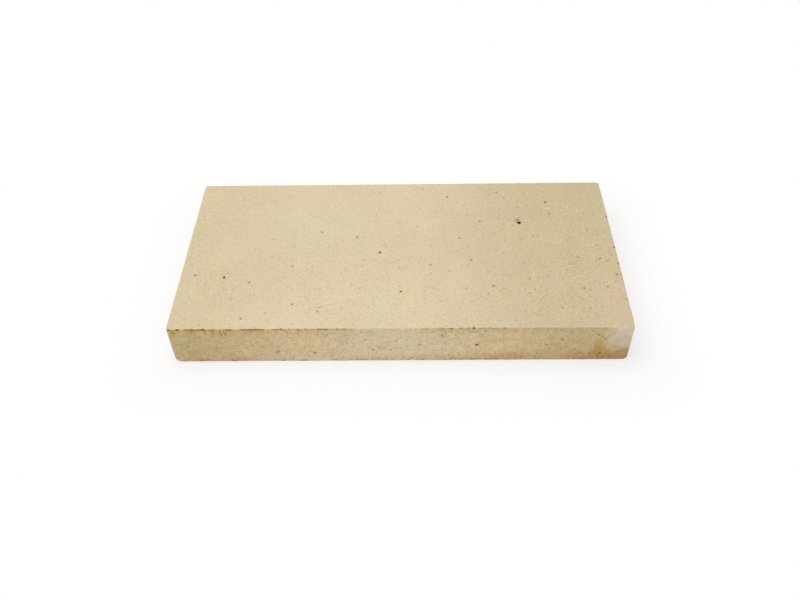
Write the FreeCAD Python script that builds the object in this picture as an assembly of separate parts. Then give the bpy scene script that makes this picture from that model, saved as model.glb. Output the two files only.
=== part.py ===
"""Refractory firebrick: a thin slab of dry-pressed and fired fireclay, made as one piece.

The brick lies on its bed. The origin is at the middle of the bed, X runs along the length,
Y across the width and Z up through the thickness. All sizes are in millimetres.
"""

import FreeCAD, Part
import math
import os

# Format of the slab
LENGTH = 230.0
WIDTH = 114.0
THICKNESS = 25.0

# Rounding that pressing, firing and handling leave on the edges
UPRIGHT_EDGE_RADIUS = 1.2
TOP_ARRIS_RADIUS = 0.6
BED_ARRIS_RADIUS = 0.9

# Bruised bed corners at the front: how far each break runs along the length, the width and the thickness
LEFT_BRUISE_REACH = (4.2, 3.4, 2.4)
RIGHT_BRUISE_REACH = (2.6, 2.2, 2.8)
BRUISE_HOLLOW = 0.35  # how far a break dips below the flat facet between its three ends

# Pore near the back right of the top face, where a lump of grog fell out: a shallow shell with a pit in it
PORE_FROM_RIGHT = 50.1
PORE_FROM_BACK = 33.6
SHELL_WIDTH = 5.2
SHELL_DEPTH = 0.5
PIT_WIDTH = 2.2
PIT_DEPTH = 1.3
PIT_TO_RIGHT = 0.7  # from the middle of the shell
PIT_TO_FRONT = 2.1


def pressed_slab():
    """The block as it leaves the mould, with sharp edges."""
    bed_corner = FreeCAD.Vector(-LENGTH / 2, -WIDTH / 2, 0)
    return Part.makeBox(LENGTH, WIDTH, THICKNESS, bed_corner)


def edges_at(solid, height):
    """The edges that lie flat at one height."""
    return [e for e in solid.Edges if all(math.isclose(v.Z, height, abs_tol=1e-6) for v in e.Vertexes)]


def upright_edges(solid):
    """The edges that run from the bed to the top face."""
    return [e for e in solid.Edges if abs(e.Vertexes[0].Z - e.Vertexes[-1].Z) > THICKNESS / 2]


def eased(slab):
    """The slab with its upright edges rounded first, so that the two arrises run round the corners."""
    slab = slab.makeFillet(UPRIGHT_EDGE_RADIUS, upright_edges(slab))
    slab = slab.makeFillet(TOP_ARRIS_RADIUS, edges_at(slab, THICKNESS))
    return slab.makeFillet(BED_ARRIS_RADIUS, edges_at(slab, 0.0))


def ball_for(rim_radius, depth):
    """The radius of the ball that leaves a hollow with a round rim of this radius, and of this depth."""
    return (rim_radius**2 + depth**2) / (2 * depth)


def bruise(side, reach):
    """A ball that breaks off a front bed corner. The side is -1 for the left end and 1 for the right.

    Fired clay breaks in a shallow hollow, so the break is part of a sphere: it passes through one point
    on each of the corner's three edges and dips below the flat facet between them.
    """
    along_length, along_width, along_thickness = reach
    corner = FreeCAD.Vector(side * LENGTH / 2, -WIDTH / 2, 0)
    on_length = corner + FreeCAD.Vector(-side * along_length, 0, 0)
    on_width = corner + FreeCAD.Vector(0, along_width, 0)
    on_thickness = corner + FreeCAD.Vector(0, 0, along_thickness)
    facet = Part.Circle(on_length, on_width, on_thickness)
    outward = facet.Axis
    if outward.dot(corner - facet.Center) < 0:
        outward = -outward
    ball_radius = ball_for(facet.Radius, BRUISE_HOLLOW)
    ball_centre = facet.Center + outward * (ball_radius - BRUISE_HOLLOW)
    return Part.makeSphere(ball_radius, ball_centre)


def bowl(place, width, depth):
    """A ball that leaves a round bowl of this width and depth in the top face."""
    ball_radius = ball_for(width / 2, depth)
    return Part.makeSphere(ball_radius, place + FreeCAD.Vector(0, 0, ball_radius - depth))


def lost_grain():
    """The shell and the pit that a lump of grog left in the top face."""
    shell_place = FreeCAD.Vector(LENGTH / 2 - PORE_FROM_RIGHT, WIDTH / 2 - PORE_FROM_BACK, THICKNESS)
    pit_place = shell_place + FreeCAD.Vector(PIT_TO_RIGHT, -PIT_TO_FRONT, 0)
    return [bowl(shell_place, SHELL_WIDTH, SHELL_DEPTH), bowl(pit_place, PIT_WIDTH, PIT_DEPTH)]


def firebrick():
    """The finished brick."""
    bruises = [bruise(-1, LEFT_BRUISE_REACH), bruise(1, RIGHT_BRUISE_REACH)]
    return eased(pressed_slab()).cut(bruises + lost_grain())


def main():
    os.makedirs("parts", exist_ok=True)
    brick = firebrick()
    print(f"firebrick: {brick.Volume / 1000:.1f} cm3, valid {brick.isValid()}, solids {len(brick.Solids)}")
    brick.exportStep("parts/firebrick.step")


main()
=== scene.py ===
# %% [markdown]
# # A refractory firebrick
#
# A firebrick split is a thin slab of fireclay and crushed, already fired clay, which is called grog. The
# mix is pressed nearly dry in a steel mould and fired in a kiln. So the real object is one piece with
# flat faces, and everything that tells it from a plain block is small: eased edges, a few bruises, pores
# where a grain fell out, dark iron spots, and the brown bloom that the kiln leaves on the sides.
#
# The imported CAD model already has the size, the eased edges, the two bruised corners and the largest
# pore. This script loads it as a fixed frame and makes one finer mesh that stands for the brick, then its
# clay, then a small studio around it.

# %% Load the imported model
import math
import random

import bmesh
import bpy
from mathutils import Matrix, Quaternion, Vector, kdtree, noise


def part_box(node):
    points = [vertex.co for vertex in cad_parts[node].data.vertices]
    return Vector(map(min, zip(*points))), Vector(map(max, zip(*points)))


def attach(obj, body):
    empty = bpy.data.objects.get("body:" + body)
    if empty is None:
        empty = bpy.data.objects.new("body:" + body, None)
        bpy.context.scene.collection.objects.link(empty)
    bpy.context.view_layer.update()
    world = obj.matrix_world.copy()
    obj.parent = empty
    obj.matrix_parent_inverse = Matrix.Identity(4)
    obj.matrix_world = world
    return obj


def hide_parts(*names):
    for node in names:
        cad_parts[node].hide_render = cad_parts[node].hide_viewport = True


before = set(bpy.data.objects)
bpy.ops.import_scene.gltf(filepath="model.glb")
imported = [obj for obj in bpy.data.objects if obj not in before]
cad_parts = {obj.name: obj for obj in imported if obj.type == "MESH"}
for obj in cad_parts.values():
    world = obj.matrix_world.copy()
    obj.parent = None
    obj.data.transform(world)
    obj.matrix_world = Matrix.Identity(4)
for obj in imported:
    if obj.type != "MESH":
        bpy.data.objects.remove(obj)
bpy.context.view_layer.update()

MM = 0.001
low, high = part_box("firebrick")
size = high - low
middle = (low + high) / 2
print("CAD box in mm:", [round(length / MM, 2) for length in size])

# %% [markdown]
# ## The camera
#
# The view is worked out once from the outline of a brick of this format: how far round the camera stands,
# how high, how far away, and a slight lean of the frame. A Track To constraint could aim the camera, but
# a rotation built from the viewing direction keeps everything in plain numbers, and the lean is one more
# turn about the lens. No shift is needed, so the other views stay centred too.

# %% Camera
CAMERA_AZIMUTH = math.radians(1.72)
CAMERA_ELEVATION = math.radians(45.9)
CAMERA_LEAN = math.radians(-1.63)
CAMERA_DISTANCE = 447.0 * MM
CAMERA_TARGET = Vector((-0.5, -13.6, 0.0)) * MM
CAMERA_LENS = 36.8
SENSOR_WIDTH = 36.0
NEAREST_SEEN = 10 * MM

away = Vector((
    math.sin(CAMERA_AZIMUTH) * math.cos(CAMERA_ELEVATION),
    -math.cos(CAMERA_AZIMUTH) * math.cos(CAMERA_ELEVATION),
    math.sin(CAMERA_ELEVATION),
))
camera_data = bpy.data.cameras.new("camera")
camera_data.lens = CAMERA_LENS
camera_data.sensor_width = SENSOR_WIDTH
camera_data.clip_start = NEAREST_SEEN
camera = bpy.data.objects.new("camera", camera_data)
camera.rotation_mode = "QUATERNION"
camera.location = CAMERA_TARGET + away * CAMERA_DISTANCE
camera.rotation_quaternion = (-away).to_track_quat("-Z", "Y") @ Quaternion((0, 0, 1), CAMERA_LEAN)
bpy.context.scene.collection.objects.link(camera)
bpy.context.scene.camera = camera
bpy.context.scene.view_settings.view_transform = "Standard"
print("camera stands at", [round(c / MM) for c in camera.location], "mm")

# %% [markdown]
# ## The pressed slab
#
# The mould gives six flat faces and twelve straight edges, which a mason calls arrises. The CAD mesh
# could be cut finer, but it is made of long thin triangles, which take relief badly. So a cube is scaled
# to the CAD box as a new blank, and a bevel eases every arris by the same small radius. All faces are
# still four-sided after that, which the next step needs.

# %% Blank and eased arrises
ARRIS_RADIUS = 0.5 * MM
ARRIS_SEGMENTS = 2

slab = bmesh.new()
bmesh.ops.create_cube(slab, size=1.0)
bmesh.ops.scale(slab, vec=size, verts=slab.verts)
bmesh.ops.translate(slab, vec=middle, verts=slab.verts)
bmesh.ops.bevel(
    slab,
    geom=slab.edges[:],
    offset=ARRIS_RADIUS,
    segments=ARRIS_SEGMENTS,
    profile=0.5,
    affect="EDGES",
    material=-1,
)
print("eased blank:", len(slab.faces), "faces")

# %% [markdown]
# ## A net that is fine where the brick is worn
#
# Relief needs vertices. A subdivision surface would add them everywhere and round the flat faces, so the
# long edges are cut into equal cells instead, one direction at a time, which leaves a plain grid. The
# arrises get one more cut, because chips and wear show in the outline there.

# %% Grid over the faces
CELL = 1.1 * MM
LONG_EDGE = 3 * CELL


def cut_along(axis):
    """Cuts every long edge along one axis into equal cells."""
    edges = [e for e in slab.edges if abs(e.verts[1].co[axis] - e.verts[0].co[axis]) > LONG_EDGE]
    cuts = round(edges[0].calc_length() / CELL) - 1
    bmesh.ops.subdivide_edges(slab, edges=edges, cuts=cuts, use_grid_fill=True)


for axis in range(3):
    cut_along(axis)
print("grid:", len(slab.faces), "faces")

# %% Finer cells along the arrises
FINE_BAND = 2.3 * MM


def from_arris(point):
    """How far a point on the surface is from the nearest arris."""
    gaps = sorted(min(p - a, b - p) for p, a, b in zip(point, low, high))
    return gaps[1]


def halve_cells(faces):
    """Cuts each of these faces into four, with triangles where they meet the coarser cells."""
    edges = list(dict.fromkeys(edge for face in faces for edge in face.edges))
    bmesh.ops.subdivide_edges(slab, edges=edges, cuts=1, use_grid_fill=True, use_single_edge=True)


halve_cells([face for face in slab.faces if from_arris(face.calc_center_median()) < FINE_BAND])
print("with fine arrises:", len(slab.faces), "faces")

# %% [markdown]
# ## Pores
#
# A pore is left where a lump of grog broke out of the face or an iron grain melted away. Dark paint alone
# could stand for them, but here they are real hollows, because those catch the light from the side. There
# are four kinds, from a black hole to a faint brown dimple. The ones that show in the view are listed, in
# millimetres on their face, and the hidden faces get seeded ones of the same kinds.

# %% Kinds and places of the pores
# For each kind: the radius of its mouth, and how much painted shade and stain darken it
PORE_KINDS = {
    "black": (0.76 * MM, 1.5),
    "dark": (0.88 * MM, 0.65),
    "brown": (1.05 * MM, 0.36),
    "faint": (1.05 * MM, 0.27),
}
# From the middle of the brick: along the length and across the width
TOP_PORES = {
    "black": [(-91.7, -20.3)],
    "dark": [(0.6, -31.6), (-10.9, -1.9), (82, 39)],
    "brown": [
        (-78.8, -49.7), (-23.5, 10.4), (94, -30), (-54, -40), (106, -29), (37.5, -8.4), (105.6, -8),
        (-56.6, -12.3), (44, 23), (-107, -18.6), (-43, 15), (16, -12), (112, -20), (26.5, 44.5), (55, 48),
        (32, 9), (48, -28), (-78, -24),
    ],
    "faint": [
        (102, 15), (72, 10), (90, 7), (34, -30), (45, -33), (105, 2), (95, -44), (81, -44), (67, -23),
        (94, -7), (-41, -45), (-19, -8), (-84, -9), (-67, -46), (83, 29), (26, -17), (109, -10),
    ],
}
# Along the length from the middle, and up from the bed
FRONT_PORES = {
    "dark": [(38.5, 12)],
    "brown": [(21, 19), (98, 19), (-43, 6.5), (-61, 7.5), (-86, 20.6), (80.4, 15.7), (100.6, 5.2)],
    "faint": [
        (-36, 20), (10, 12), (78.7, 13), (73.4, 11.6), (74.7, 9), (-17.3, 16), (-1.6, 15.3), (-4.4, 8.8),
        (99.5, 3.8), (95.5, 4.5), (91, 5.6),
    ],
}
HIDDEN_PORES = {"bed": 30, "back": 14, "left": 7, "right": 7}
HIDDEN_KINDS = ("dark", "brown", "faint", "faint")
placed = [place for kinds in (TOP_PORES, FRONT_PORES) for places in kinds.values() for place in places]
print(len(placed), "pores placed by hand,", sum(HIDDEN_PORES.values()), "to be seeded")

# %% Places on the faces
FACES = {
    "top": Vector((0, 0, 1)),
    "bed": Vector((0, 0, -1)),
    "front": Vector((0, -1, 0)),
    "back": Vector((0, 1, 0)),
    "left": Vector((-1, 0, 0)),
    "right": Vector((1, 0, 0)),
}


def on_face(name, point):
    """The point moved straight onto that face of the brick."""
    out = FACES[name]
    return Vector([(b if o > 0 else a) if o else p for p, o, a, b in zip(point, out, low, high)])


def somewhere(draw, margin=0.0):
    """A seeded point in the brick, that far from its faces."""
    return Vector([draw.uniform(a + margin, b - margin) for a, b in zip(low, high)])


print("faces:", ", ".join(FACES))

# %% All the pores
PORE_SEED = 7
MOUTH_SPREAD = (0.9, 1.1)
FACE_MARGIN = 3.0 * MM

pore_draw = random.Random(PORE_SEED)
pores = []


def add_pore(name, point, kind):
    """Notes a pore on a face: its place, the radius of its mouth and how much painted shade and stain darken
    it.
    """
    mouth, darkness = PORE_KINDS[kind]
    pores.append((on_face(name, point), mouth * pore_draw.uniform(*MOUTH_SPREAD), darkness))


for kind, places in TOP_PORES.items():
    for x, y in places:
        add_pore("top", Vector((x, y, 0)) * MM, kind)
for kind, places in FRONT_PORES.items():
    for x, z in places:
        add_pore("front", Vector((x, 0, z)) * MM, kind)
for name, count in HIDDEN_PORES.items():
    for number in range(count):
        add_pore(name, somewhere(pore_draw, FACE_MARGIN), HIDDEN_KINDS[number % len(HIDDEN_KINDS)])
print(len(pores), "pores")

# %% Finer cells round the pores
MAIN_PORE = on_face("top", Vector((64.9, 23.4, 0)) * MM)
MAIN_PORE_REACHES = (3.2 * MM, 2.56 * MM)
PORE_REACHES = (1.7 * MM, 1.15 * MM)


def faces_near(places, reach):
    """The faces with their middle within reach of any of these places."""
    tree = kdtree.KDTree(len(places))
    for index, place in enumerate(places):
        tree.insert(place, index)
    tree.balance()
    return [face for face in slab.faces if tree.find(face.calc_center_median())[2] < reach]


for reach in PORE_REACHES:
    halve_cells(faces_near([place for place, _, _ in pores], reach))
for reach in MAIN_PORE_REACHES:
    halve_cells(faces_near([MAIN_PORE], reach))
triangles = sum(len(face.verts) - 2 for face in slab.faces)
print("net:", len(slab.verts), "vertices,", triangles, "triangles")

# %% [markdown]
# ## A map for the bake
#
# The clay is painted by nodes, and a bake can turn it into one picture. Smart UV Project could lay out a
# map, but it would leave gaps and turn the faces. Laying each face of the brick flat beside the others
# wastes little of that picture and keeps the grain the same size all over. It is done now, while the
# faces are still flat.

# %% Six faces laid flat
MAP_GAP = 2.0
LENGTH, WIDTH, THICKNESS = (length / MM for length in size)
SECOND_COLUMN = WIDTH + MAP_GAP
SIDE_COLUMN = 2 * SECOND_COLUMN
LAST_COLUMN = SIDE_COLUMN + THICKNESS + MAP_GAP
END_ROW = LENGTH + MAP_GAP
MAP_SIDE = LAST_COLUMN + THICKNESS + 2 * MAP_GAP

# For each face: the axis that runs across the map, the axis that runs up it, and the corner it starts from
MAP_PLACES = {
    "top": (1, 0, 0.0, 0.0),
    "bed": (1, 0, SECOND_COLUMN, 0.0),
    "front": (2, 0, SIDE_COLUMN, 0.0),
    "back": (2, 0, LAST_COLUMN, 0.0),
    "left": (1, 2, 0.0, END_ROW),
    "right": (1, 2, SECOND_COLUMN, END_ROW),
}


def face_name(normal):
    """The face of the brick that looks most nearly along this normal."""
    return max(FACES, key=lambda name: FACES[name].dot(normal))


bake_map = slab.loops.layers.uv.new("OFBake")
for face in slab.faces:
    u_axis, v_axis, start_u, start_v = MAP_PLACES[face_name(face.normal)]
    for loop in face.loops:
        from_corner = (loop.vert.co - low) / MM
        loop[bake_map].uv = (
            (MAP_GAP + start_u + from_corner[u_axis]) / MAP_SIDE,
            (MAP_GAP + start_v + from_corner[v_axis]) / MAP_SIDE,
        )
print("bake map is", round(MAP_SIDE), "mm wide")

# %% [markdown]
# ## What the paint will need to know
#
# Four numbers are kept on each vertex, because the nodes can't work them out from a place alone: whether
# it is on a side of the brick, how much painted shade and stain a hollow gives it, how dark the pressing
# seam is there, and how much of the ochre slip beside the seam it may carry. Vertex groups could hold them,
# but float layers of a bmesh are written straight from the loops below, and a node reads each one by its
# name.

# %% Numbers kept on the vertices
side_number = slab.verts.layers.float.new("side")
hollow_stain_and_shade_number = slab.verts.layers.float.new("hollow_stain_and_shade")
seam_number = slab.verts.layers.float.new("seam")
slip_number = slab.verts.layers.float.new("slip")

slab.normal_update()
slab.verts.ensure_lookup_table()
for vert in slab.verts:
    vert[side_number] = math.hypot(vert.normal.x, vert.normal.y)

outward = [vert.normal.copy() for vert in slab.verts]
unworn = [vert.co.copy() for vert in slab.verts]
skin = kdtree.KDTree(len(unworn))
for index, point in enumerate(unworn):
    skin.insert(point, index)
skin.balance()


def sink(index, depth):
    """Moves a vertex into the brick, square to the face that it lay on."""
    slab.verts[index].co -= outward[index] * depth


def note_stain_and_shade(index, share):
    """Notes how much painted shade and stain a hollow gives a vertex, from 0 to 1."""
    vert = slab.verts[index]
    vert[hollow_stain_and_shade_number] = max(vert[hollow_stain_and_shade_number], min(share, 1.0))


print("numbers on", len(unworn), "vertices")

# %% [markdown]
# ## Flat, but not dead flat
#
# Pressed clay springs back a little and warps in the kiln. A slow wave of about a tenth of a millimetre
# keeps the light from lying dead even on the faces, and a short wave gives them a sandy skin, which is
# coarser on the sides. A Displace modifier could do this, but here every wave only sinks the skin, so the
# brick never leaves the box of the CAD model.

# %% Warp and sandy skin
WARP_LENGTH = 46 * MM
WARP_DEPTH = 0.16 * MM
SAND_LENGTH = 2.9 * MM
TOP_SAND = 0.06 * MM
SIDE_SAND = 0.10 * MM
OCTAVE_FALL = 1.0
OCTAVE_STEP = 2.0


def clamped(value, least, most):
    """The value, but not below least and not above most."""
    return min(max(value, least), most)


def wave(point, length, octaves=1):
    """A smooth number from 0 to 1 that changes over that length, with finer octaves on it."""
    swing = noise.fractal(point / length, OCTAVE_FALL, OCTAVE_STEP, octaves)
    return clamped(0.5 + 0.5 * swing, 0.0, 1.0)


for index, point in enumerate(unworn):
    sand = TOP_SAND + (SIDE_SAND - TOP_SAND) * slab.verts[index][side_number]
    sink(index, WARP_DEPTH * wave(point, WARP_LENGTH) + sand * wave(point, SAND_LENGTH, octaves=2))
print("skin waves up to", round((WARP_DEPTH + SIDE_SAND) / MM, 2), "mm deep")

# %% [markdown]
# ## Worn arrises
#
# Handling rubs the arrises: most on the upright edges at the four corners, a little on the bed, least on
# the crisp top. A wider bevel would round them as evenly as a machine does. Real wear comes and goes
# along the edge, so here it follows a wave, and it fades out within two millimetres of the edge.

# %% Rubbed edges
WEAR_BAND = 2.0 * MM
TOP_WEAR = 0.14 * MM
BED_WEAR = 0.36 * MM
UPRIGHT_WEAR = 0.5 * MM
WEAR_LENGTH = 5.5 * MM
LEAST_WEAR = 0.25


def wear_depth(point):
    """How deep the wear is, but for its wave, on the arris that is nearest to this point."""
    to_end = min(point.x - low.x, high.x - point.x)
    to_front = min(point.y - low.y, high.y - point.y)
    if max(to_end, to_front) < WEAR_BAND:
        return UPRIGHT_WEAR
    return TOP_WEAR if point.z > middle.z else BED_WEAR


for index, point in enumerate(unworn):
    fade = 1 - from_arris(point) / WEAR_BAND
    if fade > 0:
        sink(index, wear_depth(point) * fade * fade * (LEAST_WEAR + wave(point, WEAR_LENGTH, octaves=3)))
print("upright edges rubbed by about", round(UPRIGHT_WEAR / MM, 2), "mm")

# %% [markdown]
# ## Chips and bruises
#
# A knock takes a small shell of clay out of an arris. Boolean cuts with so many balls would be slow and
# could leave slivers, so each chip is a ball laid against the edge: the vertices inside the ball are
# pushed out to its skin, and into the brick, and the mesh stays closed. A wave on the ball's radius keeps
# the chips from looking drilled. Most are seeded. The dark nicks in the top arris that show in the view
# have their own places. The two bruised bed corners at the front are larger, and are cut back to a rough
# facet with the same reach as in the CAD model.

# %% A bite out of an arris
CHIP_WAVE = 0.9 * MM
LEAST_BALL = 0.85
BALL_SPREAD = 0.3
BALL_SEARCH = 1.3


def bite(first, second, point, ball, depth, darkness=0.0, drop=0.0):
    """Takes a ball's shell out of the arris of two faces, moved along the second one by drop."""
    out = (FACES[first] + FACES[second]).normalized()
    centre = on_face(first, on_face(second, point)) + out * (ball - depth) - FACES[first] * drop
    for _, index, _ in skin.find_range(centre, ball * BALL_SEARCH):
        vert = slab.verts[index]
        from_centre = vert.co - centre
        uneven = ball * (LEAST_BALL + BALL_SPREAD * wave(unworn[index], CHIP_WAVE))
        if from_centre.length < uneven:
            vert.co = centre + from_centre.normalized() * uneven
            note_stain_and_shade(index, darkness)


print("a ball's radius changes by up to", round(BALL_SPREAD * 100), "percent")

# %% Chips along the arrises
CHIP_SPACING = {"top": 12 * MM, "bed": 7 * MM, "upright": 7 * MM}
CHIP_BALL = (0.9 * MM, 2.8 * MM)
CHIP_BITE = {"top": (0.15 * MM, 0.5 * MM), "bed": (0.3 * MM, 0.9 * MM), "upright": (0.3 * MM, 0.8 * MM)}
CHIP_SEED = 21

chip_draw = random.Random(CHIP_SEED)


def chip_arris(first, second, kind):
    """Chips at seeded places along the arris of two faces. Returns how many."""
    length = abs(FACES[first].cross(FACES[second]).dot(size))
    count = round(length / CHIP_SPACING[kind])
    for _ in range(count):
        place = somewhere(chip_draw)
        ball = chip_draw.uniform(*CHIP_BALL)
        bite(first, second, place, ball, chip_draw.uniform(*CHIP_BITE[kind]))
    return count


chips = 0
for name in ("front", "back", "left", "right"):
    chips += chip_arris("top", name, "top")
    chips += chip_arris("bed", name, "bed")
for name in ("left", "right"):
    chips += chip_arris("front", name, "upright")
    chips += chip_arris("back", name, "upright")
print(chips, "chips")

# %% Dark nicks in the top arris
DARK_NICKS = {"front": [-109, -96.5, -58, 36.5], "back": [52, 69, 112.5], "right": [26, -12, 0.5]}
FAINT_NICKS = {"front": [-102, -71, -54, -46, 34, 44.6, 52], "right": [-5, -20, -24, -38]}
DARK_NICK = 0.4
FAINT_NICK = 0.2
NICK_BALL = 0.9 * MM
NICK_DEPTH = 0.5 * MM
NICK_DROP = 0.8 * MM


def nick_arrises(nicks, darkness):
    """Bites nicks at these places: on the front just below the top arris, elsewhere just inside it."""
    for name, places in nicks.items():
        first, second = ("top", name) if name == "front" else (name, "top")
        for place in places:
            bite(first, second, Vector((place, place, 0)) * MM, NICK_BALL, NICK_DEPTH, darkness, NICK_DROP)
    print(sum(len(places) for places in nicks.values()), "nicks of darkness", darkness)


nick_arrises(DARK_NICKS, DARK_NICK)
nick_arrises(FAINT_NICKS, FAINT_NICK)

# %% Bruised bed corners at the front
LEFT_BRUISE_REACH = Vector((4.2, 3.4, 2.4)) * MM
RIGHT_BRUISE_REACH = Vector((2.6, 2.2, 2.8)) * MM
BRUISE_ROUGHNESS = 0.22 * MM
BRUISE_DARKNESS = 0.25
BRUISE_SEARCH = 2


def bruise(corner, reach):
    """Cuts a corner back to a rough facet through the three points that reach gives along its arrises."""
    slope = Vector([math.copysign(1 / r, m - c) for m, c, r in zip(middle, corner, reach)])
    for _, index, _ in skin.find_range(corner, BRUISE_SEARCH * max(reach)):
        vert = slab.verts[index]
        short = (1 - slope.dot(vert.co - corner)) / slope.length
        if short > 0:
            fade = min(short / BRUISE_ROUGHNESS, 1.0)
            rough = BRUISE_ROUGHNESS * wave(unworn[index], CHIP_WAVE, octaves=2) * fade
            vert.co += slope.normalized() * (short + rough)
            note_stain_and_shade(index, BRUISE_DARKNESS)


bruise(Vector((low.x, low.y, low.z)), LEFT_BRUISE_REACH)
bruise(Vector((high.x, low.y, low.z)), RIGHT_BRUISE_REACH)
print("bruised two bed corners")

# %% [markdown]
# ## The pressing seam
#
# Where the punch met the mould wall, a thin fin of clay was pressed out and broken off. It leaves a fine
# dark line just under the top arris, and the slip that was squeezed out there fired to a band of ochre
# below it. A painted line would do from afar. A shallow groove also shades itself, so the line is sunk
# first, and its strength is kept for the paint. Seam and slip are plainest on the left half of the front,
# and come and go elsewhere.

# %% How plain the seam is
# For each stretch of the front: where it starts and ends, and how plain the seam and the slip are there
SEAM_STRETCHES = [
    (-116, -84, 1.0, 1.0),
    (-84, -68, 0.9, 0.7),
    (-62, -28, 0.8, 0.4),
    (15, 31, 0.6, 0.5),
    (36, 70, 0.4, 0.0),
]
SEAM_FADE = 7 * MM
SEAM_HALF_WIDTH = 1.0 * MM
HIDDEN_SEAM_LENGTH = 30 * MM
HIDDEN_SEAM_GAIN = 4
HIDDEN_SEAM_LOSS = 1.9
PLAINEST_HIDDEN_SEAM = 0.8


def seam_and_slip(point):
    """How plain the seam and its slip are under a point of the top arris, each from 0 to 1."""
    if point.y > low.y + SEAM_HALF_WIDTH:
        come_and_go = HIDDEN_SEAM_GAIN * wave(point, HIDDEN_SEAM_LENGTH) - HIDDEN_SEAM_LOSS
        hidden = clamped(come_and_go, 0.0, PLAINEST_HIDDEN_SEAM)
        return hidden, hidden
    seam_share = 0.0
    slip_share = 0.0
    for first, last, plain_seam, plain_slip in SEAM_STRETCHES:
        outside = max(first * MM - point.x, point.x - last * MM, 0.0)
        inside = max(1 - outside / SEAM_FADE, 0.0)
        seam_share = max(seam_share, plain_seam * inside)
        slip_share = max(slip_share, plain_slip * inside)
    return seam_share, slip_share


print(len(SEAM_STRETCHES), "stretches of seam on the front")

# %% Seam under the top arris
SEAM_BELOW = 0.8 * MM
SEAM_DEPTH = 0.3 * MM
SEAM_LENGTH = 2.6 * MM
SEAM_GAIN = 3.4
SEAM_LOSS = 1.0
FAINTEST_SEAM = 0.05
PLAINEST_SEAM = 1.1
SLIP_REACH = 8 * MM
LEAST_SIDE = 0.5

for index, point in enumerate(unworn):
    vert = slab.verts[index]
    if vert[side_number] < LEAST_SIDE or point.z < high.z - SLIP_REACH:
        continue
    on_arris = Vector((point.x, point.y, high.z))
    plain_seam, vert[slip_number] = seam_and_slip(on_arris)
    off = abs(high.z - SEAM_BELOW - point.z) / SEAM_HALF_WIDTH
    if off < 1:
        come_and_go = SEAM_GAIN * wave(on_arris, SEAM_LENGTH, octaves=3) - SEAM_LOSS
        broken = clamped(come_and_go, FAINTEST_SEAM, PLAINEST_SEAM)
        share = min(plain_seam * broken, 1.0) * (1 - off * off)
        sink(index, SEAM_DEPTH * share)
        vert[seam_number] = share
print("seam", round(SEAM_DEPTH / MM, 2), "mm deep")

# %% [markdown]
# ## Sinking the pores
#
# Each pore is a small bowl with an uneven rim, drawn out a little to one side, because a grain is never
# quite round. A bump in the material could shade such bowls, but it would leave the mesh flat, so the
# vertices sink. The largest one, near the back right of the top, is a shallow shell where a lump flaked
# off, with a pit at its front right side. Both have the sizes of the CAD model.

# %% A bowl with an uneven rim
RIM_WAVE = 0.6 * MM
LEAST_RIM = 0.75
RIM_SPREAD = 0.5
LONGEST_STRETCH = 1.5
BOWL_SEED = 3

bowl_draw = random.Random(BOWL_SEED)


def sink_bowl(place, mouth, depth, darkness, longest=LONGEST_STRETCH):
    """Sinks a bowl into the skin, drawn out along a seeded direction by up to longest."""
    drawn_out = Vector([bowl_draw.gauss(0, 1) for _ in range(3)]).normalized()
    squeeze = 1 - 1 / bowl_draw.uniform(1.0, longest)
    for point, index, _ in skin.find_range(place, mouth * LONGEST_STRETCH):
        from_place = point - place
        from_place -= drawn_out * (squeeze * from_place.dot(drawn_out))
        uneven = mouth * (LEAST_RIM + RIM_SPREAD * wave(point, RIM_WAVE))
        share = 1 - (from_place.length / uneven) ** 2
        if share > 0:
            sink(index, depth * share)
            note_stain_and_shade(index, darkness * share)


print("bowls are drawn out by up to", LONGEST_STRETCH, "times")

# %% Bowls
MAIN_SHELL = (2.6 * MM, 0.5 * MM)
MAIN_SHELL_DARKNESS = 0.3
MAIN_PIT = (1.1 * MM, 1.3 * MM)
MAIN_PIT_DARKNESS = 5.0
MAIN_PIT_OFFSET = Vector((0.7, -2.1, 0)) * MM
ROUND = 1.0

sink_bowl(MAIN_PORE, *MAIN_SHELL, MAIN_SHELL_DARKNESS)
sink_bowl(MAIN_PORE + MAIN_PIT_OFFSET, *MAIN_PIT, MAIN_PIT_DARKNESS, longest=ROUND)
for place, mouth, darkness in pores:
    sink_bowl(place, mouth, mouth * min(darkness, 1.0), darkness)
print(len(pores) + 1, "pores sunk")

# %% The finished mesh
for face in slab.faces:
    face.smooth = True
slab.normal_update()
brick_mesh = bpy.data.meshes.new("firebrick_body")
slab.to_mesh(brick_mesh)
slab.free()
brick = bpy.data.objects.new("firebrick_body", brick_mesh)
bpy.context.scene.collection.objects.link(brick)
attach(brick, "root")
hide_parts("firebrick")
print("brick:", len(brick_mesh.vertices), "vertices,", len(brick_mesh.polygons), "faces")

# %% [markdown]
# ## Writing paint as sums
#
# A material is a tree of nodes. Wiring a sum node by node is hard to read, so one small class stands for
# a socket, and Python's own signs add the Math nodes. Any other node comes from its `node` method.

# %% A socket that can be reckoned with


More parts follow.
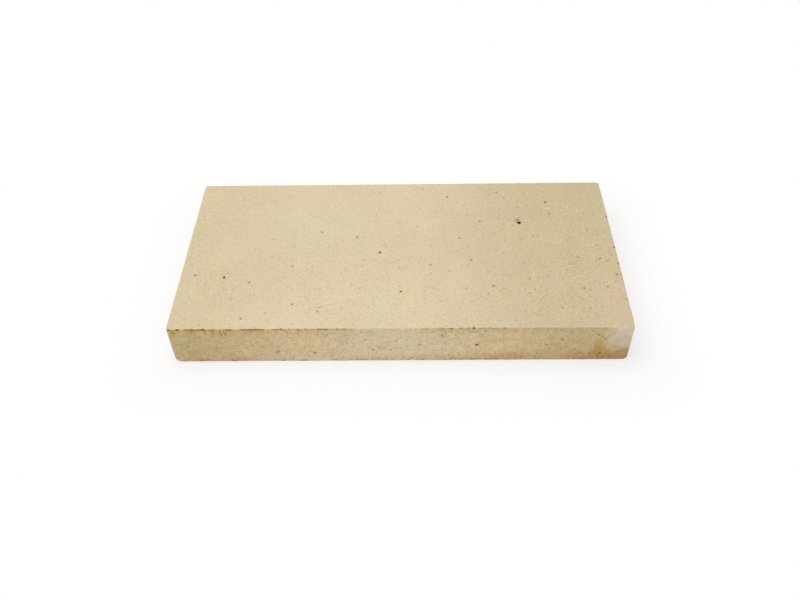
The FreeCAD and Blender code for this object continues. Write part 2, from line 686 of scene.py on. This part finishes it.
class Wire:
    """A socket of a node tree. Signs between wires and numbers add Math nodes to the tree."""

    def __init__(self, tree, socket=None):
        self.tree = tree
        self.socket = socket

    def node(self, kind, settings, sockets, output=0):
        """Adds a node: its settings first, then the value or the link of each socket."""
        made = self.tree.nodes.new(kind)
        for name, value in settings.items():
            setattr(made, name, value)
        for name, value in sockets.items():
            if isinstance(value, Wire):
                self.tree.links.new(value.socket, made.inputs[name])
            else:
                made.inputs[name].default_value = value
        return Wire(self.tree, None if output is None else made.outputs[output])

    def other(self, output):
        """Another output of the node that this wire comes from."""
        return Wire(self.tree, self.socket.node.outputs[output])

    def math(self, operation, *values):
        """Adds a Math node."""
        return self.node("ShaderNodeMath", {"operation": operation}, dict(enumerate(values)))

    def __add__(self, value):
        return self.math("ADD", self, value)

    def __sub__(self, value):
        return self.math("SUBTRACT", self, value)

    def __rsub__(self, value):
        return self.math("SUBTRACT", value, self)

    def __mul__(self, value):
        return self.math("MULTIPLY", self, value)

    def __truediv__(self, value):
        return self.math("DIVIDE", self, value)

    def __abs__(self):
        return self.math("ABSOLUTE", self)

    __radd__ = __add__
    __rmul__ = __mul__


def empty_tree(owner):
    """Gives a material or a world an empty node tree, and returns a wire to build it with."""
    owner.use_nodes = True
    owner.node_tree.nodes.clear()
    return Wire(owner.node_tree)


print("wires ready")

# %% Masks, coats and clouds


def ease(value, nought, one):
    """A mask that goes smoothly from 0, where value is nought, to 1, where it is one."""
    limits = {"Value": value, "From Min": nought, "From Max": one}
    return value.node("ShaderNodeMapRange", {"interpolation_type": "SMOOTHSTEP"}, limits)


def near(value, centre, reach):
    """A mask of a stretch about a centre: 0 at the first distance of reach, and 1 within the second."""
    return ease(abs(value - centre), *reach)


def coat(under, over, share=1.0, way="MIX"):
    """One colour laid over another, as far as share says."""
    wire = next(w for w in (under, over, share) if isinstance(w, Wire))
    settings = {"data_type": "RGBA", "blend_type": way}
    return wire.node("ShaderNodeMix", settings, {0: share, 6: under, 7: over}, output=2)


def cloud(place, length, detail=2.0, rough=0.5):
    """A soft noise from 0 to 1 whose patches are about that many millimetres across."""
    sockets = {"Vector": place, "Scale": 1 / length, "Detail": detail, "Roughness": rough}
    return place.node("ShaderNodeTexNoise", {}, sockets)


def wander(pattern, amount):
    """A cloud turned into a push to either side of nothing, which makes a border wander."""
    return amount * (pattern - 0.5)


print("paint tools ready")

# %% [markdown]
# ## Fired clay
#
# The body is a warm cream, with a pink cast at the right front and two paler places. The top is darker
# towards its ends, most towards the right: partly a duller tone, and partly painted shade for light that
# falls off from left to right. A picture wrapped round the block would show a seam at every arris, and it
# would bring its own light with it. Noise that fills space has no seams, so everything reads Object
# coordinates, turned into millimetres, and each length below is a real one.

# %% Places and masks
# Here and below, a pair of numbers is a ramp: its mask is 0 at the first and 1 at the second
SIDE_TURN = (0.6, 0.95)
ARRIS_TURN_IN = (0.05, 0.4)
ARRIS_TURN_OUT = (1.0, 0.9)
TOP = high.z / MM
FRONT = low.y / MM
END = high.x / MM
FRONT_SKIN = (FRONT + 8, FRONT + 2)
END_SKIN = (END - 2.0, END - 0.8)

clay = bpy.data.materials.new("fireclay")
clay_tools = empty_tree(clay)
metres = clay_tools.node("ShaderNodeTexCoord", {}, {}, output="Object")
here = clay_tools.node("ShaderNodeVectorMath", {"operation": "SCALE"}, {0: metres, "Scale": 1 / MM})
along = clay_tools.node("ShaderNodeSeparateXYZ", {}, {0: here})
across = along.other("Y")
height = along.other("Z")


def kept(name):
    """A number that the mesh keeps on its vertices."""
    return clay_tools.node("ShaderNodeAttribute", {"attribute_name": name}, {}, output="Fac")


turned = kept("side")
side = ease(turned, *SIDE_TURN)
arris = ease(turned, *ARRIS_TURN_IN) * ease(turned, *ARRIS_TURN_OUT)
hollow_stain_and_shade = kept("hollow_stain_and_shade")
seam = kept("seam")
slip = kept("slip")
level = 1 - side
front = side * ease(across, *FRONT_SKIN)
ends = side * ease(abs(along), *END_SKIN)
print("masks took", len(clay.node_tree.nodes), "nodes")

# %% Body colour
CREAM = (0.738, 0.622, 0.409, 1.0)
DUN_AND_FALLOFF_SHADE = (0.88, 0.86, 0.815, 1.0)
PINK = (0.69, 0.535, 0.36, 1.0)
BROAD_LENGTH = 75
PATCH_LENGTH = 17
DUN_AND_SHADE_RIGHT = (5, 85)
DUN_AND_SHADE_LEFT = (-55, -105)
DUN_AND_SHADE_LEFT_SHARE = 0.38
PINK_ALONG = (30, 95)
PINK_ACROSS = (5, -35)
PINK_PATCHES = (0.3, 0.6)
PINK_SHARE = 0.55

broad = cloud(here, BROAD_LENGTH)
patches = cloud(here, PATCH_LENGTH)
# Painted shade and a duller tone: the top darkens towards its ends, most towards the right
dun_and_falloff_shade = ease(along, *DUN_AND_SHADE_RIGHT) + DUN_AND_SHADE_LEFT_SHARE * ease(along, *DUN_AND_SHADE_LEFT)
body = coat(CREAM, DUN_AND_FALLOFF_SHADE, level * dun_and_falloff_shade, "MULTIPLY")
pink = ease(along, *PINK_ALONG) * ease(across, *PINK_ACROSS) * ease(patches, *PINK_PATCHES)
body = coat(body, PINK, level * pink * PINK_SHARE)
print("with the body colour:", len(clay.node_tree.nodes), "nodes")

# %% Paler places on the top
PALE = (0.755, 0.655, 0.475, 1.0)
PALE_SPOT = (-10.0, -41.0, TOP)
PALE_SPOT_REACH = (11, 4)
PALE_SPOT_WANDER = 10
PALE_SPOT_SHARE = 0.7
BRIGHT_ALONG = -45
BRIGHT_LENGTH = (38, 12)
BRIGHT_ACROSS = 22
BRIGHT_WIDTH = (26, 8)
BRIGHT_SHARE = 0.3

to_spot = clay_tools.node(
    "ShaderNodeVectorMath", {"operation": "DISTANCE"}, {0: here, 1: PALE_SPOT}, output="Value"
)
pale_spot = ease(to_spot + wander(patches, PALE_SPOT_WANDER), *PALE_SPOT_REACH)
body = coat(body, PALE, pale_spot * PALE_SPOT_SHARE)
bright = near(along, BRIGHT_ALONG, BRIGHT_LENGTH) * near(across, BRIGHT_ACROSS, BRIGHT_WIDTH)
body = coat(body, PALE, level * bright * BRIGHT_SHARE)
print("with the paler places:", len(clay.node_tree.nodes), "nodes")

# %% [markdown]
# ## Kiln bloom and stains
#
# The flame reached the sides most at the corners, so they go from cream in the middle over a pinkish tan
# to brown. Along the bed runs a band of tan, blush and scorch with one pale stretch in it, and the right
# half of the front has a brown edge under the top. Grime lies in ticks, and the dark blots along the foot
# of the sides and the broken line at the bed are partly grime and partly painted contact shadow. The right
# front corner is scorched at its foot and rubbed pale above, with a rusty run beside it.
#
# Vertex colours could be brushed on by hand, but they would be no finer than the mesh. So each coat is a
# mask from the place in millimetres, and a cloud pushes its border to and fro, because no kiln draws a
# straight line.

# %% Patterns that break up the coats
STREAK_LENGTH = 9
RAGGED_LENGTH = 3.2
DRIP_LENGTH = 1.9
TICK_LENGTH = 1.2
TICK_EDGE = (0.57, 0.66)
DRAWN_UPRIGHT = (1.0, 1.0, 0.15)

streaks = cloud(here, STREAK_LENGTH, detail=3.0)
ragged = cloud(here, RAGGED_LENGTH, detail=4.0, rough=0.6)
upright = clay_tools.node("ShaderNodeVectorMath", {"operation": "MULTIPLY"}, {0: here, 1: DRAWN_UPRIGHT})
drips = cloud(upright, DRIP_LENGTH, detail=3.0, rough=0.6)
ticks = ease(cloud(upright, TICK_LENGTH), *TICK_EDGE)
print("with the patterns:", len(clay.node_tree.nodes), "nodes")

# %% Bloom from the middle to the corners
TAN = (0.74, 0.555, 0.325, 1.0)
BROWN = (0.58, 0.46, 0.235, 1.0)
BLOOM_MIDDLE = -3
BLOOM_WANDER = 24
PALER_ENDS = 45
PALER_ENDS_WIDTH = (50, 10)
TAN_FROM_MIDDLE = (16, 50)
BROWN_FROM_MIDDLE = (50, 106)
BLOOM_SHARE = 0.9

paler_ends = PALER_ENDS * ends * ease(abs(across), *PALER_ENDS_WIDTH)
from_middle = abs(along - BLOOM_MIDDLE) + wander(patches, BLOOM_WANDER) - paler_ends
body = coat(body, TAN, side * ease(from_middle, *TAN_FROM_MIDDLE) * BLOOM_SHARE)
body = coat(body, BROWN, side * ease(from_middle, *BROWN_FROM_MIDDLE) * BLOOM_SHARE)
print("with the bloom:", len(clay.node_tree.nodes), "nodes")

# %% Band along the bed
BLUSH = (0.63, 0.44, 0.225, 1.0)
SCORCH = (0.50, 0.315, 0.125, 1.0)
BED_BAND = (6.5, 2.5)
BED_WANDER = 4
UNBURNT_ALONG = -48
UNBURNT_LENGTH = (28, 12)
BED_TAN_SHARE = 0.75
BED_CREAM_SHARE = 0.6
BLUSH_LEFT = (-60, -85)
BLUSH_LEFT_SHARE = 0.8
BLUSH_ALONG = 28
BLUSH_LENGTH = (13, 4)
BLUSH_SHARE = 0.6
BED_SCORCH = (25, 60)
BED_SCORCH_SHARE = 0.12
CORNER_SCORCH = (75, 105)
CORNER_SCORCH_SHARE = 0.6

bed_band = side * ease(height + wander(streaks, BED_WANDER) + wander(drips, BED_WANDER), *BED_BAND)
unburnt = near(along, UNBURNT_ALONG, UNBURNT_LENGTH)
body = coat(body, TAN, bed_band * (1 - unburnt) * BED_TAN_SHARE)
body = coat(body, CREAM, bed_band * unburnt * BED_CREAM_SHARE)
blush_left = ease(along, *BLUSH_LEFT) * BLUSH_LEFT_SHARE
body = coat(body, BLUSH, bed_band * (blush_left + near(along, BLUSH_ALONG, BLUSH_LENGTH) * BLUSH_SHARE))
bed_scorch = ease(along, *BED_SCORCH) * BED_SCORCH_SHARE + ease(along, *CORNER_SCORCH) * CORNER_SCORCH_SHARE
body = coat(body, SCORCH, bed_band * bed_scorch)
print("with the bed band:", len(clay.node_tree.nodes), "nodes")

# %% Higher band on the front
HIGH_BAND = (10, 4)
HIGH_STREAKS = 6
HIGH_DRIPS = 3
HIGH_SCORCH = (18, 45)
HIGH_SCORCH_SHARE = 0.22
STAIN_ALONG = 54
STAIN_LENGTH = (11, 4)
STAIN_SHARE = 0.3
RIGHT_SCORCH = (76, 88)
RIGHT_SCORCH_SHARE = 0.25
PALE_STRETCH_ALONG = -52
PALE_STRETCH_LENGTH = (22, 8)
PALE_STRETCH_SHARE = 0.5

high_band = front * ease(height + wander(streaks, HIGH_STREAKS) + wander(drips, HIGH_DRIPS), *HIGH_BAND)
stain = near(along, STAIN_ALONG, STAIN_LENGTH) * STAIN_SHARE
right_scorch = ease(along, *RIGHT_SCORCH) * RIGHT_SCORCH_SHARE
body = coat(body, SCORCH, high_band * (ease(along, *HIGH_SCORCH) * HIGH_SCORCH_SHARE + stain + right_scorch))
pale_stretch = near(along, PALE_STRETCH_ALONG, PALE_STRETCH_LENGTH)
body = coat(body, CREAM, high_band * pale_stretch * PALE_STRETCH_SHARE)
print("with the higher band:", len(clay.node_tree.nodes), "nodes")

# %% Under the top arris
OCHRE = (0.66, 0.45, 0.18, 1.0)
EDGE_BAND = (TOP - 5.0, TOP - 2.5)
EDGE_ALONG = (25, 45)
EDGE_SHARE = 0.5
SLIP_BAND = (TOP - 5.0, TOP - 3.2)
SLIP_GAPS = (0.15, 0.5)
SLIP_SHARE = 0.95
EDGE_WANDER = 4
SLIP_DRIPS = 5

ragged_height = height + wander(ragged, EDGE_WANDER)
brown_edge = front * ease(ragged_height, *EDGE_BAND) * ease(along, *EDGE_ALONG)
body = coat(body, BROWN, brown_edge * EDGE_SHARE)
slip_band = ease(ragged_height + wander(drips, SLIP_DRIPS), *SLIP_BAND) * ease(ragged, *SLIP_GAPS)
body = coat(body, OCHRE, slip * slip_band * SLIP_SHARE)
print("with the slip:", len(clay.node_tree.nodes), "nodes")

# %% Grime, and painted contact shadow along the bed
GRIME_AND_SHADE = (0.22, 0.14, 0.06, 1.0)
SLIP_TICKS = (TOP - 6.5, TOP - 4.5)
SLIP_TICKS_SHARE = 0.5
BED_TICKS = (6, 2)
BED_TICKS_SHARE = 0.25
BLOT_LENGTH = 4.5
BLOT_EDGE = (0.54, 0.62)
BLOT_HEIGHT = (2.1, 0.8)
BLOT_SHARE = 0.7
BED_LINE_HEIGHT = (2.0, 0.4)
BED_LINE_GAPS = (0.3, 0.55)
BED_LINE_SHARE = 0.5

body = coat(body, GRIME_AND_SHADE, slip * ease(height, *SLIP_TICKS) * ticks * SLIP_TICKS_SHARE)
body = coat(body, GRIME_AND_SHADE, side * ease(height, *BED_TICKS) * ticks * BED_TICKS_SHARE)
# Dark blots along the foot of the sides and a broken line at the right: partly grime, partly painted contact
# shadow
bed_grime_and_shade = ease(height, *BLOT_HEIGHT) * ease(cloud(here, BLOT_LENGTH), *BLOT_EDGE)
body = coat(body, GRIME_AND_SHADE, side * bed_grime_and_shade * BLOT_SHARE)
bed_line_grime_and_shade = side * ease(height, *BED_LINE_HEIGHT) * ease(along, *CORNER_SCORCH) * ease(ragged, *BED_LINE_GAPS)
body = coat(body, GRIME_AND_SHADE, bed_line_grime_and_shade * BED_LINE_SHARE)
print("with the grime:", len(clay.node_tree.nodes), "nodes")

# %% Rusty run
RUST = (0.49, 0.26, 0.06, 1.0)
RUN_ALONG = 98.8
RUN_FOOT = 7.0
RUN_TAPER = 0.25
RUN_EDGE = (1.0, 0.1)
RUN_HEIGHT = (20, 10)
RUN_BASE = 0.35
RUN_BLOTCHES = 0.4
RUN_BLOTCH_EDGE = (0.35, 0.6)
RUN_TICKS = 0.4

run_width = RUN_FOOT - RUN_TAPER * height
run = front * ease(abs(along - RUN_ALONG) / run_width, *RUN_EDGE) * ease(height, *RUN_HEIGHT)
body = coat(body, RUST, run * (RUN_BASE + RUN_BLOTCHES * ease(ragged, *RUN_BLOTCH_EDGE) + RUN_TICKS * ticks))
print("with the rusty run:", len(clay.node_tree.nodes), "nodes")

# %% Scorched and rubbed corner
RUBBED = (0.69, 0.58, 0.42, 1.0)
CHALK = (0.82, 0.70, 0.54, 1.0)
CORNER_WANDER = 9
CORNER_PATCHES = 14
CORNER_ACROSS = (FRONT + 20, FRONT + 4)
FOOT_ALONG = (96, 106)
FOOT_HEIGHT = (13, 5)
FOOT_SHARE = 0.85
FOOT_TICKS_HEIGHT = (8, 4)
FOOT_TICKS_SHARE = 0.3
RUBBED_ALONG = (100, 109)
RUBBED_HEIGHT = (6, 14)
RUBBED_SHARE = 0.85
CHALK_HEIGHT = (15, 21)
CHALK_SHARE = 0.75

wandering = wander(ragged, CORNER_WANDER)
near_corner = side * ease(across + wandering + wander(patches, CORNER_PATCHES), *CORNER_ACROSS)
scorched_foot = near_corner * ease(along, *FOOT_ALONG) * ease(height + wandering, *FOOT_HEIGHT)
body = coat(body, SCORCH, scorched_foot * FOOT_SHARE)
foot_ticks = (run + scorched_foot * ease(height, *FOOT_TICKS_HEIGHT)) * ticks
body = coat(body, GRIME_AND_SHADE, foot_ticks * FOOT_TICKS_SHARE)
rubbed = near_corner * ease(along + wandering, *RUBBED_ALONG) * ease(height + wandering, *RUBBED_HEIGHT)
body = coat(body, RUBBED, rubbed * RUBBED_SHARE)
body = coat(body, CHALK, rubbed * ease(height, *CHALK_HEIGHT) * CHALK_SHARE)
print("with the corner:", len(clay.node_tree.nodes), "nodes")

# %% [markdown]
# ## Grog and iron
#
# Crushed fired clay shows as pale and dull grains, and iron in the clay as brown to black spots.
# Thousands of tiny meshes could be scattered for them, but they lie in the body and not on it. So they
# are cut from a solid Voronoi pattern: the skin slices it, and each slice of a round grain is a spot of
# its own size. The places are bent a little first, or the grains would be round.

# %% Cutting grains from a pattern
BEND_SCALE = 0.9
BEND_REACH = (1.1, 1.1, 1.1)
GRAIN_LENGTH = 1.3
LEAST_GRAIN = 0.4
GRAIN_SPREAD = 0.6
RAGGED_GRAIN = 1.2
GRAIN_EDGE = (1.0, 0.4)
LEAST_PLAIN = 0.25
PLAIN_SPREAD = 0.75

bend = clay_tools.node(
    "ShaderNodeTexNoise", {}, {"Vector": here, "Scale": BEND_SCALE, "Detail": 2.0}, output="Color"
)
bent = clay_tools.node(
    "ShaderNodeVectorMath", {"operation": "MULTIPLY_ADD"}, {0: bend, 1: BEND_REACH, 2: here}
)
grain = cloud(here, GRAIN_LENGTH, detail=3.0, rough=0.7)


def grains(cell, share, radius):
    """A mask of grains: one in each cell for that share of the cells, up to that radius in millimetres."""
    nearest = clay_tools.node("ShaderNodeTexVoronoi", {}, {"Vector": bent, "Scale": 1 / cell})
    lot = clay_tools.node("ShaderNodeSeparateColor", {}, {0: nearest.other("Color")})
    picked = clay_tools.math("LESS_THAN", lot, share)
    reach = (LEAST_GRAIN + GRAIN_SPREAD * lot.other("Green")) * (radius / cell)
    plain = lot.other("Blue")
    uneven = nearest / reach + wander(grain, RAGGED_GRAIN)
    return picked * ease(uneven, *GRAIN_EDGE) * (LEAST_PLAIN + PLAIN_SPREAD * plain * plain)


print("with the bent places:", len(clay.node_tree.nodes), "nodes")

# %% Shade of the sandy skin
RUBBED_AWAY = 0.6
SCORCHED_AWAY = 0.6
RUSTED_AWAY = 0.4
BROAD_SHADE = 0.10
PATCH_SHADE = 0.12
STREAK_SHADE = 0.25
RAGGED_SHADE = 0.4
GRAIN_SHADE = 0.44
SIDE_GRAIN_SHADE = 0.22

showing = (1 - RUBBED_AWAY * rubbed) * (1 - SCORCHED_AWAY * scorched_foot) * (1 - RUSTED_AWAY * run)
clouded = wander(broad, BROAD_SHADE) + wander(patches, PATCH_SHADE)
mottled = side * (wander(streaks, STREAK_SHADE) + wander(ragged, RAGGED_SHADE))
sandy = showing * (GRAIN_SHADE + SIDE_GRAIN_SHADE * side) * (grain - 0.5)
body = coat(body, 1 + clouded + mottled + sandy, way="MULTIPLY")
print("with the shade:", len(clay.node_tree.nodes), "nodes")

# %% Grains strewn through the clay
PALE_GROG = (0.86, 0.72, 0.47, 1.0)
PALE_GROG_SHARE = 0.5
LEVEL_GROG_SHARE = 0.08
DULL_TINT = (0.68, 0.59, 0.46, 1.0)
CROWD_LENGTH = 30
CROWD_BASE = 0.12
CROWD_FRONT = 0.15
CROWD_ACROSS = (20, -30)
CROWD_RIGHT = 0.22
CROWD_ALONG = (20, 90)
CROWD_WANDER = 0.6
FINE_SIDE_CROWD = 0.3
COARSE_SIDE_CROWD = 0.2
COARSE_SHARE = 0.65

pale_grains = grains(cell=1.7, share=0.45, radius=0.95)
body = coat(body, PALE_GROG, showing * pale_grains * (PALE_GROG_SHARE + LEVEL_GROG_SHARE * level))
crowd_front = CROWD_FRONT * ease(across, *CROWD_ACROSS)
crowd_right = CROWD_RIGHT * ease(along, *CROWD_ALONG)
crowding = CROWD_BASE + crowd_front + crowd_right + wander(cloud(here, CROWD_LENGTH), CROWD_WANDER)
fine_grains = grains(cell=1.9, share=crowding + FINE_SIDE_CROWD * side, radius=0.95)
coarse_grains = COARSE_SHARE * grains(cell=4.1, share=crowding + COARSE_SIDE_CROWD * side, radius=1.8)
body = coat(body, DULL_TINT, showing * fine_grains, "MULTIPLY")
body = coat(body, DULL_TINT, showing * coarse_grains, "MULTIPLY")
print("with the grog:", len(clay.node_tree.nodes), "nodes")

# %% Iron spots
IRON = (0.24, 0.14, 0.06, 1.0)
IRON_CROWD = 0.09
IRON_SIDE_CROWD = 0.13
IRON_SHARE = 0.68

iron_spots = grains(cell=3.3, share=IRON_CROWD + IRON_SIDE_CROWD * side, radius=0.8)
body = coat(body, IRON, showing * iron_spots * IRON_SHARE)
print("with the iron:", len(clay.node_tree.nodes), "nodes")

# %% Top arris rubbed pale and painted with a highlight, painted shade and stain in the seam and hollows
ARRIS_WEAR_AND_HIGHLIGHT = (0.84, 0.71, 0.46, 1.0)
ARRIS_WEAR_AND_HIGHLIGHT_HEIGHT = (TOP - 2, TOP - 1)
ARRIS_WEAR_AND_HIGHLIGHT_SHARE = 0.5
SEAM_SHADOW = (0.32, 0.215, 0.08, 1.0)
SEAM_SHOWS = (0.1, 0.9)
PORE_STAIN_AND_SHADE = (0.25, 0.165, 0.07, 1.0)
PORE_STAIN_AND_SHADE_RAMP = (0.05, 0.45)
PORE_SHADOW = (0.02, 0.011, 0.005, 1.0)
PORE_DARKENS = (0.3, 0.8)
HOLLOW_SHARE = 0.9

# Pale line on the rounded top arris: partly rubbed paler, partly a painted highlight
body = coat(body, ARRIS_WEAR_AND_HIGHLIGHT, arris * ease(height, *ARRIS_WEAR_AND_HIGHLIGHT_HEIGHT) * ARRIS_WEAR_AND_HIGHLIGHT_SHARE)
body = coat(body, SEAM_SHADOW, ease(seam, *SEAM_SHOWS) * HOLLOW_SHARE)
# Painted shade and stain in the hollows: brown where shallow, near black where deep
body = coat(body, PORE_STAIN_AND_SHADE, ease(hollow_stain_and_shade, *PORE_STAIN_AND_SHADE_RAMP) * HOLLOW_SHARE)
body = coat(body, PORE_SHADOW, ease(hollow_stain_and_shade, *PORE_DARKENS))
print("with the hollows:", len(clay.node_tree.nodes), "nodes")

# %% [markdown]
# ## A dry, sandy surface
#
# Fired clay is matt: it is rough everywhere and only a little smoother where it was rubbed. It is also
# porous, which swallows most of the gloss that so hard a material would have. Grains this small would
# take millions of vertices, so what is too fine for the mesh is a bump.

# %% Roughness, bump and the finished clay
CLAY_ROUGHNESS = 0.94
RUBBED_SMOOTHER = 0.12
GRAIN_SMOOTHER = 0.08
FINE_LENGTH = 0.7
GRAIN_RELIEF = 0.6
FINE_RELIEF = 0.4
IRON_RELIEF = 0.5
SAND_BUMP = 0.12 * MM
BUMP_STRENGTH = 0.7
CLAY_IOR = 1.45
CLAY_GLOSS = 0.2

roughness = CLAY_ROUGHNESS - RUBBED_SMOOTHER * rubbed - wander(grain, GRAIN_SMOOTHER)
fine = cloud(here, FINE_LENGTH, detail=3.0, rough=0.6)
relief = GRAIN_RELIEF * grain + FINE_RELIEF * fine - IRON_RELIEF * iron_spots
bump = clay_tools.node(
    "ShaderNodeBump", {}, {"Strength": BUMP_STRENGTH, "Distance": SAND_BUMP, "Height": relief}
)
clay_sockets = {
    "Base Color": body,
    "Roughness": roughness,
    "Normal": bump,
    "IOR": CLAY_IOR,
    "Specular IOR Level": CLAY_GLOSS,
}
shader = clay_tools.node("ShaderNodeBsdfPrincipled", {}, clay_sockets)
clay_tools.node("ShaderNodeOutputMaterial", {}, {"Surface": shader}, output=None)
brick_mesh.materials.append(clay)
print("clay has", len(clay.node_tree.nodes), "nodes")

# %% [markdown]
# ## The studio
#
# A pale floor, an even white sky and one large soft lamp, high and to the left, are enough. A picture of
# a real studio could light the brick, but plain light shows the clay as it is and needs no other file.
# The floor is matt paper near the brick, so it keeps the soft shadow, and plain white for the camera
# further out.

# %% Floor
FLOOR_REACH = 6.0

floor_shape = bmesh.new()
bmesh.ops.create_grid(floor_shape, x_segments=1, y_segments=1, size=FLOOR_REACH)
floor_mesh = bpy.data.meshes.new("floor")
floor_shape.to_mesh(floor_mesh)
floor_shape.free()
floor = bpy.data.objects.new("floor", floor_mesh)
bpy.context.scene.collection.objects.link(floor)
print("floor is", 2 * FLOOR_REACH, "m wide")

# %% Paper on the floor
PAPER = (0.97, 0.97, 0.97, 1.0)
WHITE = (1.0, 1.0, 1.0, 1.0)
SHADOW_REACH = (0.0, 45 * MM)
LEAST_WHITE = 0.6


def looked_at(tools):
    """1 for rays from the camera or off a mirror or glass, and 0 for rays that carry light to the brick."""
    straight = tools.node("ShaderNodeLightPath", {}, {}, output="Is Camera Ray")
    bounced = tools.math("MAXIMUM", straight.other("Is Glossy Ray"), straight.other("Is Transmission Ray"))
    return tools.math("MAXIMUM", straight, bounced)


paper = bpy.data.materials.new("floor_paper")
paper_tools = empty_tree(paper)
floor_point = paper_tools.node("ShaderNodeTexCoord", {}, {}, output="Object")
floor_x = paper_tools.node("ShaderNodeSeparateXYZ", {}, {0: floor_point})
past_end = paper_tools.math("MAXIMUM", abs(floor_x) - size.x / 2, 0.0)
past_front = paper_tools.math("MAXIMUM", abs(floor_x.other("Y")) - size.y / 2, 0.0)
from_brick = paper_tools.math("SQRT", past_end * past_end + past_front * past_front)
matt = paper_tools.node("ShaderNodeBsdfDiffuse", {}, {"Color": PAPER})
plain_white = paper_tools.node("ShaderNodeEmission", {}, {"Color": WHITE, "Strength": 1.0})
whiteness = looked_at(paper_tools) * (LEAST_WHITE + (1 - LEAST_WHITE) * ease(from_brick, *SHADOW_REACH))
sheet = paper_tools.node("ShaderNodeMixShader", {}, {0: whiteness, 1: matt, 2: plain_white})
paper_tools.node("ShaderNodeOutputMaterial", {}, {"Surface": sheet}, output=None)
floor_mesh.materials.append(paper)
print("paper has", len(paper.node_tree.nodes), "nodes")

# %% Sky
SKY_STRENGTH = 0.52

world = bpy.data.worlds.new("studio")
sky_tools = empty_tree(world)
brightness = SKY_STRENGTH + (1 - SKY_STRENGTH) * looked_at(sky_tools)
sky = sky_tools.node("ShaderNodeBackground", {}, {"Color": WHITE, "Strength": brightness})
sky_tools.node("ShaderNodeOutputWorld", {}, {"Surface": sky}, output=None)
bpy.context.scene.world = world
print("sky lights the brick with", SKY_STRENGTH)

# %% Lamp
LAMP_PLACE = Vector((-0.22, -0.13, 0.95))
LAMP_SIDE = 1.0
LAMP_WATTS = 5.7

lamp_data = bpy.data.lights.new("softbox", "AREA")
lamp_data.shape = "SQUARE"
lamp_data.size = LAMP_SIDE
lamp_data.energy = LAMP_WATTS
lamp = bpy.data.objects.new("softbox", lamp_data)
lamp.location = LAMP_PLACE
lamp.rotation_mode = "QUATERNION"
lamp.rotation_quaternion = (-LAMP_PLACE).to_track_quat("-Z", "Y")
bpy.context.scene.collection.objects.link(lamp)
print("lamp of", LAMP_WATTS, "W")
